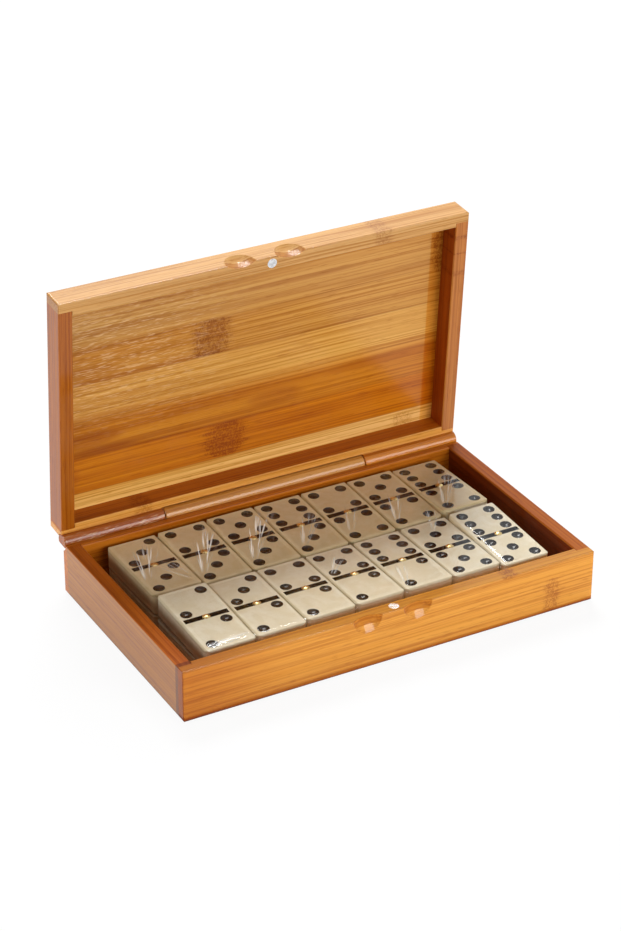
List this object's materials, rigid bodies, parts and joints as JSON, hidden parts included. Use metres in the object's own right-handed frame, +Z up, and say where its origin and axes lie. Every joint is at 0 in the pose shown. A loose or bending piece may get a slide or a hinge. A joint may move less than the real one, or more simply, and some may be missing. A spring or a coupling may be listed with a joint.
{
  "type": "domino storage box",
  "caption": "Shallow hinged box of laminated bamboo with a wooden barrel hinge, finger scoops and magnet catches, holding a film-wrapped set of dominoes.",
  "frame": {"origin": "centre of the base's underside", "axes": "+X along the box's length to the right as the user faces the front edge, +Y towards the hinge at the rear, +Z up"},
  "size_m": [0.2, 0.1308, 0.1435],
  "materials": {
    "bamboo": "strip-laminated bamboo under clear lacquer",
    "bamboo_end": "strip-laminated bamboo under clear lacquer",
    "bamboo_rod": "turned bamboo under glossy lacquer",
    "steel_pin": "drawn wire",
    "nickel": "nickel-plated magnet",
    "ivory_plastic": "polished, faintly marbled, with black filled pips and groove",
    "brass": "polished",
    "clear_film": "clear shrink film"
  },
  "bodies": {
    "base": {"base_front_wall": "bamboo", "base_rear_wall": "bamboo", "base_left_wall": "bamboo_end", "base_right_wall": "bamboo_end", "base_panel": "bamboo", "base_knuckle": "bamboo_rod", "hinge_pin_left": "steel_pin", "hinge_pin_right": "steel_pin", "base_magnet": "nickel"},
    "lid": {"lid_front_wall": "bamboo", "lid_rear_wall": "bamboo", "lid_left_wall": "bamboo_end", "lid_right_wall": "bamboo_end", "lid_panel": "bamboo", "lid_knuckle_left": "bamboo_rod", "lid_knuckle_right": "bamboo_rod", "lid_magnet": "nickel"},
    "domino_pack": {"domino_0_0": "ivory_plastic", "domino_1_0": "ivory_plastic", "domino_2_0": "ivory_plastic", "domino_3_0": "ivory_plastic", "domino_4_0": "ivory_plastic", "domino_5_0": "ivory_plastic", "domino_6_0": "ivory_plastic", "domino_1_1": "ivory_plastic", "domino_2_1": "ivory_plastic", "domino_3_1": "ivory_plastic", "domino_4_1": "ivory_plastic", "domino_5_1": "ivory_plastic", "domino_6_1": "ivory_plastic", "domino_6_6": "ivory_plastic", "domino_3_3": "ivory_plastic", "domino_4_3": "ivory_plastic", "domino_5_3": "ivory_plastic", "domino_6_3": "ivory_plastic", "domino_4_4": "ivory_plastic", "domino_5_4": "ivory_plastic", "domino_6_4": "ivory_plastic", "domino_2_2": "ivory_plastic", "domino_3_2": "ivory_plastic", "domino_4_2": "ivory_plastic", "domino_5_2": "ivory_plastic", "domino_6_2": "ivory_plastic", "domino_5_5": "ivory_plastic", "domino_6_5": "ivory_plastic", "spinner_pins": "brass", "film_wrap": "clear_film"}
  },
  "joints": [
    {"name": "lid_hinge", "type": "hinge", "parent": "base", "child": "lid", "pos_m": [0, 0.05945, 0.0251], "axis": [-1, 0, 0], "range_deg": [-86.2, 93.8]},
    {"name": "pack_lift", "type": "slide", "parent": "base", "child": "domino_pack", "axis": [0, 0, 1], "range_m": [0, 0.0095]}
  ]
}
